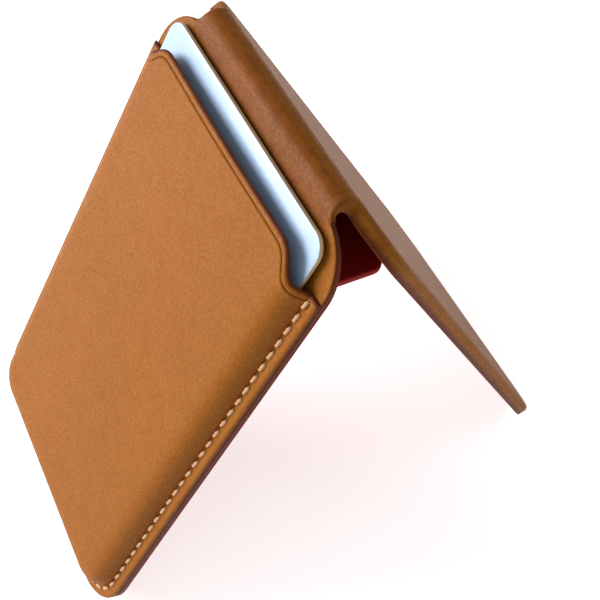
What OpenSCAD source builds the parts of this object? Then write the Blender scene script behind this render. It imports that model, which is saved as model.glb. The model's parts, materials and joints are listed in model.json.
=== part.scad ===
// Folding card wallet with a magnetic phone flap and a fold-out stand brace.
// It stands as a tent: the wallet leaf leans to -Y, the flap leans to +Y, and the
// ridge joins them along X. The origin is on the table, under the ridge axis.
//
// Both leaves are drawn flat in one leaf frame: X along the ridge, Y down the leaf
// from the ridge axis, Z outward, measured from the plane through that axis.

/* [Card] */
// Width of the bank card
card_w = 53.98; // [50:0.01:64.8]
// Length of the bank card
card_l = 85.6; // [70:0.1:105]
// Thickness of the bank card
card_t = 0.76; // [0.5:0.01:1]
// Corner radius of the bank card
card_r = 3.18; // [1:0.01:5]
// Room behind the card, for a second one
card_back_room = 0.6; // [0.3:0.05:1.2]
// Clearance on each side of a card that lies in the middle of its pocket
card_side_clear = 0.5; // [0.2:0.05:1]
// Radius that the pocket's corners have beyond the card's
card_corner_room = 0.7; // [0.4:0.05:1.5]
// How far the card has slipped towards one side
card_slip = 0.4; // [0:0.05:0.45]

/* [Leaves] */
// Angle between the two leaves when they stand
stand_angle = 57.5; // [45:0.5:70]
// Gap between the closed leaves, where the brace lies
leaf_gap = 2; // [1.6:0.1:4]
// From the ridge axis down to the top edge of the card
card_drop = 2.1; // [0.5:0.1:3]
// From the side of the card to the side edge of the leaf
side_border = 3.9; // [3.8:0.1:9]
// From the foot of the card to the foot of the leaf
foot_border = 12.2; // [9:0.1:20]
// Corner radius of the leaves
leaf_r = 9.4; // [5:0.1:12]
// Setback of linings and boards from the ridge axis
inner_setback = 0.4; // [0.3:0.1:2]

/* [Wallet layers] */
// Thickness of the lining on the wallet's inner face
back_lining_t = 0.3; // [0.2:0.05:1]
// Thickness of the wallet's stiffening board
back_board_t = 0.5; // [0.3:0.05:1]
// Thickness of the leather behind the card
back_leather_t = 0.5; // [0.4:0.05:1.5]
// Thickness of the leather over the card
front_leather_t = 0.7; // [0.6:0.05:0.8]
// Thickness of the lining over the card
front_lining_t = 0.4; // [0.2:0.05:0.6]
// Height of the moulded pocket above its sewn edge
pocket_rise = 3.3; // [3.2:0.1:4.5]
// Setback of the wallet's board from the leaf's edge
board_border = 3.4; // [2:0.1:8]

/* [Pocket mouth] */
// From the ridge axis down to the straight part of the mouth
mouth_drop = 5.5; // [4:0.1:12]
// Extra depth of the mouth at the sewn edges
mouth_side_drop = 4.2; // [2:0.1:8]
// Half length of the straight part of the mouth
mouth_half = 20.5; // [14:0.1:22]
// Radius of the rounded shoulders of the mouth
mouth_r = 5; // [3:0.1:6]

/* [Stitching] */
// Distance of the seam from the leaf's edge
seam_inset = 2; // [1.2:0.1:2.1]
// Aimed distance between stitches
stitch_pitch = 2.85; // [2:0.05:5]
// Visible length of one stitch
stitch_len = 1.9; // [1:0.1:3]
// Radius of the thread
thread_r = 0.32; // [0.2:0.01:0.5]
// Slant of each stitch across the seam
stitch_slant = 9; // [0:1:25]
// First stitch below the mouth's sewn edge
seam_start = 1.8; // [1:0.1:5]

/* [Ridge] */
// Half length of the ridge, between the two notches
ridge_half = 22.8; // [16:0.1:24]
// Thickness of the reinforcing tape in the ridge
ridge_tape_t = 0.5; // [0.3:0.05:1]
// How far short of the ridge's ends the tape stops
ridge_tape_shy = 0.8; // [0.3:0.1:3]
// Length of the tape glued down the wallet
ridge_tape_tail = 7.8; // [4:0.1:15]
// How far the wallet's leather wraps round the ridge, in degrees
ridge_wrap = 105; // [90:1:106]
// How far the flap's leather reaches back round the ridge, in degrees
flap_wrap = 74; // [40:1:74]

/* [Flap layers] */
// Thickness of the flap's leather
flap_leather_t = 0.6; // [0.4:0.05:1.5]
// Thickness of the flap's frame, which holds the magnets
flap_frame_t = 1.8; // [1.75:0.05:3]
// Thickness of the flap's lining
flap_lining_t = 0.4; // [0.2:0.05:1]

/* [Magnets] */
// Outside radius of the phone magnet ring
ring_out_r = 28; // [20:0.1:29]
// Inside radius of the phone magnet ring
ring_in_r = 23; // [15:0.1:25]
// Thickness of the ring magnets
ring_t = 0.9; // [0.6:0.05:0.95]
// Thickness of the steel ring behind the magnets
shunt_t = 0.3; // [0.2:0.05:0.35]
// Number of magnets in the ring
ring_count = 16; // [8:2:24]
// Angle of the open part of the ring, at the foot of the leaf
ring_gap_angle = 24; // [16:1:60]
// From the ridge axis down to the centre of the ring
ring_drop = 48; // [34:0.5:60]
// From the ring's centre down to the centre of the alignment magnet
align_drop = 39; // [36:0.5:42]
// Length of the alignment magnet
align_l = 16; // [8:0.5:17]
// Width of the alignment magnet
align_w = 5; // [3:0.5:8]
// Diameter of the closing magnets
closer_d = 8; // [4:0.5:12]
// Half distance between the two closing magnets
closer_half = 18; // [12:0.5:20]
// From the foot of the leaves up to the closing magnets
closer_up = 13; // [11:0.5:20]
// Clearance of a piece in its recess
recess_clear = 0.1; // [0.05:0.01:0.3]
// Thickness of the steel pieces that the small magnets meet
keeper_t = 0.4; // [0.2:0.05:0.45]

/* [Brace] */
// From the ridge axis down to the brace's hinge
brace_drop = 18.3; // [12:0.1:24]
// Angle from the wallet to the brace when it stands
brace_open = 115; // [92:0.5:118]
// Half width of the brace
brace_half = 22.8; // [12:0.1:24]
// Thickness of each leather skin of the brace
brace_skin_t = 0.45; // [0.3:0.05:0.5]
// Thickness of the plate in the brace
brace_plate_t = 0.6; // [0.4:0.05:0.7]
// Corner radius at the brace's free edge
brace_r = 2.5; // [1:0.1:6]
// Gap between the brace's free edge and the flap
tip_gap = 0.3; // [0.2:0.05:1]
// Radius of the bead that the brace turns on
bead_r = 0.5; // [0.4:0.05:0.6]
// Clearance between the bead and the brace
bead_clear = 0.2; // [0.15:0.05:0.3]
// Length of the hinge tape glued up the wallet
brace_tape_l = 9; // [5:0.1:12]
// Thickness of that tape
brace_tape_t = 0.3; // [0.2:0.05:0.3]

/* [Hidden] */
$fn = 64;

TAN = [0.74, 0.48, 0.29];
RIDGE_TAN = [0.60, 0.35, 0.15];
LINING = [0.36, 0.16, 0.10];
BOARD = [0.20, 0.19, 0.18];
STEEL = [0.62, 0.63, 0.65];
MAGNET = [0.75, 0.74, 0.70];
THREAD = [0.93, 0.74, 0.58];
WHITE = [0.88, 0.93, 0.98];

// Sheet thickness of the slices that the moulded pocket is lofted from
slice_t = 0.1;
// Overshoot of a cut through a face
cut = 1;

half_gap = leaf_gap / 2;
lean = stand_angle / 2;
leaf_half = card_w / 2 + side_border;
leaf_len = card_drop + card_l + foot_border;
ridge_z = leaf_len * cos(lean) - half_gap * sin(lean);

// Wallet levels, outward from the plane of the ridge axis
board_z = half_gap + back_lining_t;
back_z = board_z + back_board_t;
pocket_z = back_z + back_leather_t;
card_z = pocket_z + card_back_room;
seam_z = pocket_z + front_leather_t;
front_z = seam_z + pocket_rise;
roof_z = front_z - front_leather_t;

// Flap levels, outward from the plane of the ridge axis
frame_z = half_gap + flap_lining_t;
flap_back_z = frame_z + flap_frame_t;
flap_z = flap_back_z + flap_leather_t;

// Pocket: distance in from the leaf's edge against height above the sewn edge
shoulder_in = [2.4, 2.8, 3.4, 4.4, 6.0, 9.0];
shoulder_up = [0, 0.38, 0.64, 0.83, 0.94, 1.0] * pocket_rise;
cavity_in = side_border - card_side_clear;
cavity_steps = [0, 0, 0.5, 1.4, 3.0, 5.6];
// Corner radius of the cavity where the card lies, so that the card's corners clear it
cavity_r = card_r + card_corner_room;
card_top_clear = 0.09;
cavity_up = [pocket_z - cut, pocket_z + card_back_room + card_t + card_top_clear,
             seam_z + 0.47 * pocket_rise, seam_z + 0.65 * pocket_rise,
             seam_z + 0.74 * pocket_rise, roof_z];

// Seam: down one side, round the foot and up the other
seam_x = leaf_half - seam_inset;
seam_top = mouth_drop + mouth_side_drop + seam_start;
seam_r = leaf_r - seam_inset;
seam_side = leaf_len - leaf_r - seam_top;
seam_bend = PI / 2 * seam_r;
seam_foot = 2 * (leaf_half - leaf_r);
seam_total = 2 * seam_side + 2 * seam_bend + seam_foot;
stitch_steps = round(seam_total / stitch_pitch);

// Brace: as long as it takes to meet the flap when the leaves stand
brace_t = 2 * brace_skin_t + brace_plate_t;
brace_lead = brace_open - stand_angle;
brace_len = (half_gap - tip_gap - brace_t / 2 * cos(brace_lead) + brace_drop * sin(stand_angle))
            / sin(brace_lead);
hollow_r = bead_r + bead_clear;
brace_start = 0.45;
tip_s = (brace_drop + brace_len * cos(brace_open)) * cos(stand_angle)
        + brace_len * sin(brace_open) * sin(stand_angle);
grip_w = 14;
grip_l = 5;
grip_x = 11;
grip_in = 1.2;

// Places a leaf-frame shape on the wallet, the flap or the brace.
module on_wallet() {
    translate([0, 0, ridge_z]) rotate([90 - lean, 0, 0]) rotate([0, 0, 180]) children();
}

module on_flap() {
    translate([0, 0, ridge_z]) rotate([lean - 90, 0, 0]) children();
}

module on_brace() {
    translate([0, -brace_drop * sin(lean), ridge_z - brace_drop * cos(lean)])
        rotate([brace_open - 90 - lean, 0, 0]) children();
}

// Flat rounded outline from y0 to y1, with one radius at the top and one at the foot.
module rounded_outline(half, y0, y1, top_r, foot_r) {
    translate([top_r - half, y0]) square([2 * (half - top_r), y1 - y0 - foot_r]);
    translate([foot_r - half, y1 - foot_r - cut]) square([2 * (half - foot_r), foot_r + cut]);
    translate([-half, y0 + top_r]) square([2 * half, y1 - y0 - top_r - foot_r]);
    for (side = [-1, 1]) {
        translate([side * (half - top_r), y0 + top_r]) circle(top_r);
        translate([side * (half - foot_r), y1 - foot_r]) circle(foot_r);
    }
}

module leaf_plate(z0, z1, border, setback) {
    r = max(leaf_r - border, 1);
    translate([0, 0, z0]) linear_extrude(z1 - z0)
        rounded_outline(leaf_half - border, setback, leaf_len - border, r, r);
}

// Part of a round wrap about the ridge axis, over the top from a root inside the leaf.
// It is a hair thinner than the leaf's layer, so that its root lies inside that layer.
module ridge_wrap_sector(r0, r1, angle, half = ridge_half) {
    root_angle = 2;
    thinner = 0.02;
    rotate([0, -90, 0]) rotate([0, 0, -angle]) rotate_extrude(angle = angle + root_angle)
        translate([r0 + thinner, -half]) square([r1 - r0 - 2 * thinner, 2 * half]);
}

module closer_spots() {
    for (side = [-1, 1]) translate([side * closer_half, leaf_len - closer_up, 0]) children();
}

// ---- Wallet leaf ----

module back_panel() {
    color(RIDGE_TAN) on_wallet() {
        leaf_plate(back_z, pocket_z, 0, 0);
        ridge_wrap_sector(back_z, pocket_z, ridge_wrap);
    }
}

module back_board() {
    color(BOARD) on_wallet() difference() {
        leaf_plate(board_z, back_z, board_border, ridge_tape_tail + recess_clear);
        translate([0, 0, board_z - cut]) closer_spots()
            cylinder(d = closer_d + 2 * recess_clear, h = back_board_t + 2 * cut);
    }
}

module back_lining() {
    color(LINING) on_wallet() leaf_plate(half_gap, board_z, 0, inner_setback);
}

module closing_magnets() {
    color(MAGNET) on_wallet() translate([0, 0, board_z]) closer_spots()
        cylinder(d = closer_d, h = back_board_t);
}

module ridge_tape() {
    color(BOARD) on_wallet() {
        translate([-ridge_half, 0, back_z - ridge_tape_t])
            cube([2 * ridge_half, ridge_tape_tail, ridge_tape_t]);
        ridge_wrap_sector(back_z - ridge_tape_t, back_z, ridge_wrap, ridge_half - ridge_tape_shy);
    }
}

// The tape is glued up the wallet and ends in the bead that the brace turns on.
module brace_hinge_tape() {
    web_t = 0.4;
    color(LINING) on_wallet() translate([-brace_half, brace_drop, 0]) {
        translate([0, -brace_tape_l, half_gap - brace_tape_t])
            cube([2 * brace_half, brace_tape_l + web_t / 2, brace_tape_t]);
        translate([0, -web_t / 2, 0]) cube([2 * brace_half, web_t, half_gap]);
        rotate([0, 90, 0]) cylinder(r = bead_r, h = 2 * brace_half);
    }
}

// Points of an arc about c, from angle a0 to a1.
function arc_points(c, r, a0, a1, n) =
    [for (i = [0:n]) c + r * [cos(a0 + (a1 - a0) * i / n), sin(a0 + (a1 - a0) * i / n)]];

// Half of the mouth: straight, then round the shoulder and out to the sewn edge.
mouth_low = mouth_drop + mouth_side_drop;
shoulder_turn = 52;
hollow_turn_r = 2.2;
shoulder_end = [mouth_half, mouth_drop + mouth_r] + mouth_r * [sin(shoulder_turn), -cos(shoulder_turn)];
hollow_c_y = mouth_low - hollow_turn_r;
slope_end_y = hollow_c_y + hollow_turn_r * cos(shoulder_turn);
hollow_c_x = shoulder_end.x + (slope_end_y - shoulder_end.y) / tan(shoulder_turn)
             + hollow_turn_r * sin(shoulder_turn);
mouth_side = concat(
    arc_points([mouth_half, mouth_drop + mouth_r], mouth_r, -90, shoulder_turn - 90, 10),
    arc_points([hollow_c_x, hollow_c_y], hollow_turn_r, 90 + shoulder_turn, 90, 8),
    [[leaf_half + cut, mouth_low]]);

// Everything above the mouth, which is cut out of the front of the pocket.
module above_mouth() {
    far = leaf_half + cut;
    right = mouth_side;
    left = [for (i = [len(mouth_side) - 1:-1:0]) [-mouth_side[i].x, mouth_side[i].y]];
    translate([0, 0, -leaf_len / 2]) linear_extrude(leaf_len)
        polygon(concat([[-far, -leaf_len / 2], [far, -leaf_len / 2]],
                       [for (i = [len(right) - 1:-1:0]) right[i]],
                       [for (i = [len(left) - 1:-1:0]) left[i]]));
}

module pocket_slice(inset, z, corner = undef) {
    r = is_undef(corner) ? max(leaf_r - inset, 1.5) : corner;
    translate([0, 0, z]) linear_extrude(slice_t)
        rounded_outline(leaf_half - inset, -cut, leaf_len - inset, r, r, $fn = 32);
}

// The leather over the card: a flat sewn edge and a moulded rise with the pocket under it.
module front_panel() {
    color(TAN) on_wallet() difference() {
        union() {
            leaf_plate(pocket_z, seam_z, 0, 0);
            hull() for (i = [0:len(shoulder_in) - 1])
                pocket_slice(shoulder_in[i], seam_z + shoulder_up[i] - slice_t);
        }
        hull() for (i = [0:len(cavity_steps) - 1])
            pocket_slice(cavity_in + cavity_steps[i], cavity_up[i] - slice_t,
                         i < 2 ? cavity_r : undef);
        above_mouth();
    }
}

module front_lining() {
    inset = cavity_in + cavity_steps[5];
    setback = 2;
    color(LINING) on_wallet() translate([0, 0, roof_z - front_lining_t])
        linear_extrude(front_lining_t)
            rounded_outline(leaf_half - inset, mouth_drop + setback, leaf_len - inset, 2, 2);
}

// Place along the seam: [x, y, direction] at a distance from its start.
function seam_place(d) =
    d < seam_side ? [seam_x, seam_top + d, 90] :
    d < seam_side + seam_bend ? let (a = (d - seam_side) / seam_r * 180 / PI)
        [seam_x - seam_r + seam_r * cos(a), leaf_len - leaf_r + seam_r * sin(a), 90 + a] :
    d <= seam_total / 2 ? [leaf_half - leaf_r - (d - seam_side - seam_bend),
                           leaf_len - seam_inset, 180] :
    let (m = seam_place(seam_total - d)) [-m.x, m.y, -m.z];

// One stitch: a half-round bar of thread that lies on a face at z = 0.
module thread_bar() {
    rotate([90, 0, 90]) translate([0, 0, -stitch_len / 2]) linear_extrude(stitch_len)
        polygon([for (a = [0:30:180]) thread_r * [cos(a), sin(a)]]);
}

module stitching() {
    color(THREAD) on_wallet() for (i = [0:stitch_steps]) {
        p = seam_place(seam_total * i / stitch_steps);
        slant = i < stitch_steps / 2 ? stitch_slant : -stitch_slant;
        translate([p.x, p.y, seam_z]) rotate([0, 0, p.z + slant]) thread_bar();
        translate([p.x, p.y, half_gap]) rotate([0, 180, p.z]) thread_bar();
    }
}

// ---- Card ----

module card() {
    color(WHITE) on_wallet() translate([card_slip, 0, card_z]) linear_extrude(card_t)
        rounded_outline(card_w / 2, card_drop, card_drop + card_l, card_r, card_r);
}

// ---- Flap leaf ----

module flap_leather() {
    color(RIDGE_TAN) on_flap() {
        leaf_plate(flap_back_z, flap_z, 0, 0);
        ridge_wrap_sector(flap_back_z, flap_z, flap_wrap);
    }
}

module ring_outline(r0, r1) {
    difference() {
        circle(r1);
        circle(r0);
    }
}

module keeper_outline(clear) {
    keeper_l = 40;
    keeper_w = 8;
    translate([-keeper_l / 2 - clear, tip_s - keeper_w / 2 - clear])
        square([keeper_l + 2 * clear, keeper_w + 2 * clear]);
}

module align_outline(clear) {
    translate([-align_w / 2 - clear, ring_drop + align_drop - align_l / 2 - clear])
        square([align_w + 2 * clear, align_l + 2 * clear]);
}

ring_z = flap_back_z - ring_t;
shunt_z = ring_z - shunt_t;

module flap_frame() {
    color(BOARD) on_flap() difference() {
        leaf_plate(frame_z, flap_back_z, 0, inner_setback);
        translate([0, ring_drop, shunt_z]) linear_extrude(flap_frame_t)
            ring_outline(ring_in_r - recess_clear, ring_out_r + recess_clear);
        translate([0, 0, ring_z]) linear_extrude(flap_frame_t) align_outline(recess_clear);
        translate([0, 0, frame_z - cut]) linear_extrude(cut + keeper_t) keeper_outline(recess_clear);
        translate([0, 0, frame_z - cut]) closer_spots()
            cylinder(d = closer_d + 2 * recess_clear, h = cut + keeper_t);
    }
}

// Arc magnets side by side, with the ring left open towards the foot.
module magnet_ring() {
    step = (360 - ring_gap_angle) / ring_count;
    slit = 0.6;
    color(MAGNET) on_flap() translate([0, ring_drop, ring_z]) for (i = [0:ring_count - 1])
        rotate([0, 0, 90 + ring_gap_angle / 2 + i * step + slit / 2])
            rotate_extrude(angle = step - slit)
                translate([ring_in_r, 0]) square([ring_out_r - ring_in_r, ring_t]);
}

module ring_shunt() {
    color(STEEL) on_flap() translate([0, ring_drop, shunt_z]) linear_extrude(shunt_t)
        ring_outline(ring_in_r, ring_out_r);
}

module alignment_magnet() {
    color(MAGNET) on_flap() translate([0, 0, ring_z]) linear_extrude(ring_t) align_outline(0);
}

module keeper_strip() {
    color(STEEL) on_flap() translate([0, 0, frame_z]) linear_extrude(keeper_t) keeper_outline(0);
}

module closing_plates() {
    color(STEEL) on_flap() translate([0, 0, frame_z]) closer_spots()
        cylinder(d = closer_d, h = keeper_t);
}

module flap_lining() {
    color(LINING) on_flap() leaf_plate(half_gap, frame_z, 0, inner_setback);
}

// ---- Brace ----

// A layer of the brace, hollowed at its hinge end to clear the bead.
module brace_layer(z0, z1, border) {
    half = brace_half - border;
    tip_r = max(brace_r - border, 0.5);
    difference() {
        translate([0, 0, z0]) linear_extrude(z1 - z0) {
            translate([-half, brace_start]) square([2 * half, brace_len - border - tip_r - brace_start]);
            translate([tip_r - half, brace_start])
                square([2 * (half - tip_r), brace_len - border - brace_start]);
            for (side = [-1, 1])
                translate([side * (half - tip_r), brace_len - border - tip_r]) circle(tip_r);
        }
        translate([-brace_half - cut, 0, 0]) rotate([0, 90, 0])
            cylinder(r = hollow_r, h = 2 * (brace_half + cut));
    }
}

module grip_spots(clear) {
    tip_inset = brace_len - grip_in - grip_l / 2;
    for (side = [-1, 1]) translate([side * grip_x, tip_inset, -brace_plate_t / 2 - clear])
        translate([-grip_w / 2 - clear, -grip_l / 2 - clear, 0])
            cube([grip_w + 2 * clear, grip_l + 2 * clear, brace_plate_t + 2 * clear]);
}

module brace_upper_skin() {
    color(LINING) on_brace() brace_layer(brace_plate_t / 2, brace_t / 2, 0);
}

module brace_plate() {
    color(STEEL) on_brace() difference() {
        brace_layer(-brace_plate_t / 2, brace_plate_t / 2, 0.5);
        grip_spots(recess_clear);
    }
}

module brace_lower_skin() {
    color(LINING) on_brace() brace_layer(-brace_t / 2, -brace_plate_t / 2, 0);
}

module brace_magnets() {
    color(MAGNET) on_brace() grip_spots(0);
}

back_panel();
back_board();
back_lining();
closing_magnets();
ridge_tape();
brace_hinge_tape();
front_panel();
front_lining();
stitching();
card();
flap_leather();
flap_frame();
magnet_ring();
ring_shunt();
alignment_magnet();
keeper_strip();
closing_plates();
flap_lining();
brace_upper_skin();
brace_plate();
brace_lower_skin();
brace_magnets();
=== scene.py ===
"""Folding leather card wallet that stands as a tent, with a magnetic flap and a brace."""
import json
import math

import bmesh
import bpy
from bpy.props import FloatProperty, FloatVectorProperty, IntProperty, PointerProperty
from mathutils import Matrix, Vector, noise


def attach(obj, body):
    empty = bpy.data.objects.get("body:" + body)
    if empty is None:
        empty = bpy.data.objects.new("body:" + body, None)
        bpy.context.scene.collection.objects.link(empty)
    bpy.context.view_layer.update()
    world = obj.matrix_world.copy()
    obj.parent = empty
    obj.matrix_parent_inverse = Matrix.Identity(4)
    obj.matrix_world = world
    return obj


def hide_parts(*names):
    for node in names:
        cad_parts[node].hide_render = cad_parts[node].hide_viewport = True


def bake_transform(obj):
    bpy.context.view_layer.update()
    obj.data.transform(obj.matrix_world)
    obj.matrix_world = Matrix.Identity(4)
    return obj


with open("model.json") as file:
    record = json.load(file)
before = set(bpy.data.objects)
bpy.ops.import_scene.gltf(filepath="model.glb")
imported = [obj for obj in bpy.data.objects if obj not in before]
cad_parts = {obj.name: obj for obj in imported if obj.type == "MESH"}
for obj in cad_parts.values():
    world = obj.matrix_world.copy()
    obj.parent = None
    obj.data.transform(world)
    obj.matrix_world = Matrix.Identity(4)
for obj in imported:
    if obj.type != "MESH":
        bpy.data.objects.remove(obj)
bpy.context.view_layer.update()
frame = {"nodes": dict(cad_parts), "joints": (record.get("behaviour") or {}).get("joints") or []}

bl_info = {
    "name": "Folding card wallet",
    "version": (1, 0),
    "blender": (4, 5, 0),
    "location": "3D View > Sidebar > Wallet",
    "description": "Adds the leather, thread, linings, card and stage of a folding card wallet",
    "category": "Add Mesh",
}

MM = 0.001
JOINTS = {joint["name"]: joint for joint in frame["joints"]}
RIDGE = Vector(JOINTS["flap_hinge"]["pos_m"])
LEAN = math.radians(JOINTS["flap_hinge"]["range_deg"][1] / 2)
BRACE_HINGE = Vector(JOINTS["brace_fold"]["pos_m"])
BRACE_TILT = math.radians(3.75)
SIN, COS = math.sin(LEAN), math.cos(LEAN)

# A leaf is drawn flat: X along the ridge, Y down the leaf from the ridge axis, Z outward.
WALLET_LEAF = Matrix(((-1, 0, 0, 0), (0, -SIN, -COS, 0), (0, -COS, SIN, RIDGE.z), (0, 0, 0, 1)))
FLAP_LEAF = Matrix(((1, 0, 0, 0), (0, SIN, COS, 0), (0, -COS, SIN, RIDGE.z), (0, 0, 0, 1)))
BRACE_LEAF = Matrix.Translation(BRACE_HINGE) @ Matrix.Rotation(-BRACE_TILT, 4, "X")


# ---- What a user may change ----

def length(name, what, mm):
    return FloatProperty(name=name, description=what, default=mm * MM, unit="LENGTH", precision=5)


def colour(name, what, red, green, blue):
    """A colour given as it looks on a screen, 0 to 255, kept as a linear colour."""
    linear = [((c / 255 + 0.055) / 1.055) ** 2.4 for c in (red, green, blue)]
    return FloatVectorProperty(name=name, description=what, subtype="COLOR", size=3,
                               default=linear, min=0, max=1)


class WalletSizes(bpy.types.PropertyGroup):
    leaf_half: length("Leaf half width", "From the middle of a leaf to its side edge", 30.89)
    leaf_length: length("Leaf length", "From the ridge axis to the foot of a leaf", 99.9)
    leaf_corner: length("Leaf corner", "Radius of the leaves' corners", 9.4)
    ridge_half: length("Ridge half length", "Half length of the ridge between its notches", 22.8)
    pocket_rise: length("Pocket rise", "Height of the moulded pocket above its sewn edge", 3.3)
    mouth_drop: length("Mouth drop", "From the ridge axis to the straight part of the mouth", 5.5)
    seam_inset: length("Seam inset", "Distance of the seam from the leaf's edge", 2.0)
    stitch_length: length("Stitch length", "Visible length of one stitch", 2.0)
    thread_radius: length("Thread radius", "Radius of the sewing thread", 0.31)
    stitch_steps: IntProperty(name="Stitch steps", description="Steps between stitches, end to end",
                              default=79, min=20)
    stitch_slant: FloatProperty(name="Stitch slant", description="Turn of each stitch on the seam",
                                default=math.radians(9), subtype="ANGLE")
    card_half: length("Card half width", "Half width of the bank card", 26.99)
    card_length: length("Card length", "Length of the bank card", 85.6)
    card_corner: length("Card corner", "Corner radius of the bank card", 3.18)


class WalletColours(bpy.types.PropertyGroup):
    leather: colour("Leather", "The dyed grain side of the hide", 146, 87, 22)
    # leather_deep also darkens the stitches' ends as painted shade.
    leather_deep: colour("Leather, deep", "The darker dye in the grain's valleys", 106, 50, 6)
    # edge is also the colour of the painted shade over the ridge and along the mouth's crease, and, much
    # darkened, of the needle holes' painted shade.
    edge: colour("Edge dye", "The burnished dye on the cut edges", 92, 42, 14)
    lining: colour("Lining", "The suede on the inner faces", 150, 14, 5)
    thread: colour("Thread", "The waxed sewing thread", 206, 156, 110)
    card_face: colour("Card face", "The card's printed sheet", 160, 186, 218)
    card_core: colour("Card core", "The card's cut edge", 214, 192, 150)
    floor: colour("Floor", "The studio floor", 250, 250, 250)


def sizes():
    return bpy.context.scene.wallet_sizes


def mm(value):
    """A size in metres as millimetres, which the leaves are drawn in."""
    return value / MM


# ---- Shader arithmetic ----

class Wire:
    """A shader value that can be used in plain arithmetic."""

    def __init__(self, finish, socket):
        self.finish, self.socket = finish, socket

    def sum_with(self, operation, first, second):
        return self.finish.node("Math", {"operation": operation}, {0: first, 1: second})

    def __add__(self, other):
        return self.sum_with("ADD", self, other)

    def __radd__(self, other):
        return self.sum_with("ADD", other, self)

    def __sub__(self, other):
        return self.sum_with("SUBTRACT", self, other)

    def __rsub__(self, other):
        return self.sum_with("SUBTRACT", other, self)

    def __mul__(self, other):
        return self.sum_with("MULTIPLY", self, other)


class Finish:
    """One procedural material: its nodes are added by type, settings and sockets."""

    def __init__(self, name, **fixed):
        self.material = bpy.data.materials.new(name)
        self.material.use_nodes = True
        self.tree = self.material.node_tree
        self.skin = self.tree.nodes["Principled BSDF"]
        for key, value in fixed.items():
            self.skin.inputs[key.replace("_", " ").title().replace("Ior", "IOR")].default_value = value
        self.place = self.node("TexCoord", out="Object")

    def node(self, kind, settings=None, sockets=None, out=0):
        made = self.tree.nodes.new("ShaderNode" + kind)
        for key, value in (settings or {}).items():
            setattr(made, key, value)
        for key, value in (sockets or {}).items():
            self.set(made.inputs[key], value)
        return Wire(self, made.outputs[out])

    def set(self, socket, value):
        if isinstance(value, Wire):
            self.tree.links.new(value.socket, socket)
        elif hasattr(value, "__len__") and len(value) == 3 and socket.type == "RGBA":
            socket.default_value = (*value, 1)
        else:
            socket.default_value = value

    def noise(self, scale, detail=2.0, roughness=0.5, place=None):
        return self.node("TexNoise", None, {"Vector": place or self.place, "Scale": scale,
                                            "Detail": detail, "Roughness": roughness})

    def cells(self, scale, place=None):
        return self.node("TexVoronoi", None, {"Vector": place or self.place, "Scale": scale}, "Distance")

    def between(self, value, low, high, first=0.0, last=1.0):
        """Value taken from the range low to high onto first to last, and held there."""
        return self.node("MapRange", {"clamp": True}, {"Value": value, "From Min": low,
                         "From Max": high, "To Min": first, "To Max": last})

    def mix(self, amount, first, second):
        made = self.tree.nodes.new("ShaderNodeMix")
        made.data_type = "RGBA"
        for index, value in ((0, amount), (6, first), (7, second)):
            self.set(made.inputs[index], value)
        return Wire(self, made.outputs[2])

    def stretched(self, place, scale):
        return self.node("Mapping", None, {"Vector": place, "Scale": scale})

    def bump(self, height, distance, strength=1.0):
        self.set(self.skin.inputs["Normal"], self.node("Bump", None, {
            "Height": height, "Distance": distance, "Strength": strength}))

    def feed(self, **inputs):
        for key, value in inputs.items():
            self.set(self.skin.inputs[key.replace("_", " ").title()], value)
        return self.material


def shade(colour_value, factor):
    return tuple(min(1.0, c * factor) for c in colour_value)


def leather_finish():
    """Fine pebbled calf: cells and creases at half a millimetre, with cloudy dye, burnished rims, and
    painted shade where the rim attribute marks the ridge and the mouth's crease.
    """
    tones = bpy.context.scene.wallet_colours
    f = Finish("wallet_leather", specular_ior_level=0.10)
    warp = f.noise(520, 2.0)
    wavy = f.node("VectorMath", {"operation": "MULTIPLY_ADD"},
                  {0: f.node("TexNoise", None, {"Vector": f.place, "Scale": 420}, "Color"),
                   1: (0.0006,) * 3, 2: f.place})
    pebbles = f.cells(1900, wavy)
    large = f.cells(900, wavy)
    pores = f.noise(4200, 1.0)
    cloud = f.noise(38, 3.0, 0.55)
    fine_cloud = f.noise(240, 3.0, 0.6)
    rim = f.node("Attribute", {"attribute_name": "rim"}, out="Fac")
    valley = f.between(pebbles, 0.25, 0.62)
    tone = f.mix(f.between(cloud, 0.35, 0.68), tones.leather, shade(tones.leather, 0.95))
    tone = f.mix(f.between(fine_cloud, 0.42, 0.7, 0.0, 0.08), tone, tones.leather_deep)
    tone = f.mix(valley * 0.26, tone, tones.leather_deep)
    # The rim attribute brings burnished edge dye, and painted shade over the ridge and in the mouth's
    # crease: where it is set, the tone darkens towards the edge dye, the roughness drops and the grain
    # flattens.
    dye_and_shade = f.between(rim + (warp - 0.5) * 0.35, 0.25, 0.75)
    tone = f.mix(dye_and_shade, tone, tones.edge)
    rough = 0.47 + valley * 0.12 + (fine_cloud - 0.5) * 0.14 - dye_and_shade * 0.10
    height = 1.0 - pebbles * 0.62 - large * 0.30 + pores * 0.16
    f.bump(height * (1.0 - dye_and_shade * 0.8), 0.00009, 0.5)
    return f.feed(base_color=tone, roughness=rough)


def suede_finish(name, tone_value, depth=0.00012):
    """Short-napped suede or microfibre: soft, dark between the fibres."""
    f = Finish(name, specular_ior_level=0.25, sheen_weight=0.05, sheen_roughness=0.6)
    nap = f.noise(5200, 3.0, 0.65)
    brushed = f.noise(160, 3.0, 0.6)
    tone = f.mix(f.between(nap, 0.35, 0.7), shade(tone_value, 0.62), shade(tone_value, 1.15))
    tone = f.mix(f.between(brushed, 0.4, 0.65, 0.0, 0.35), tone, shade(tone_value, 0.7))
    f.bump(nap + brushed * 0.6, depth, 0.6)
    return f.feed(base_color=tone, roughness=0.82 + (nap - 0.5) * 0.2)


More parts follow.
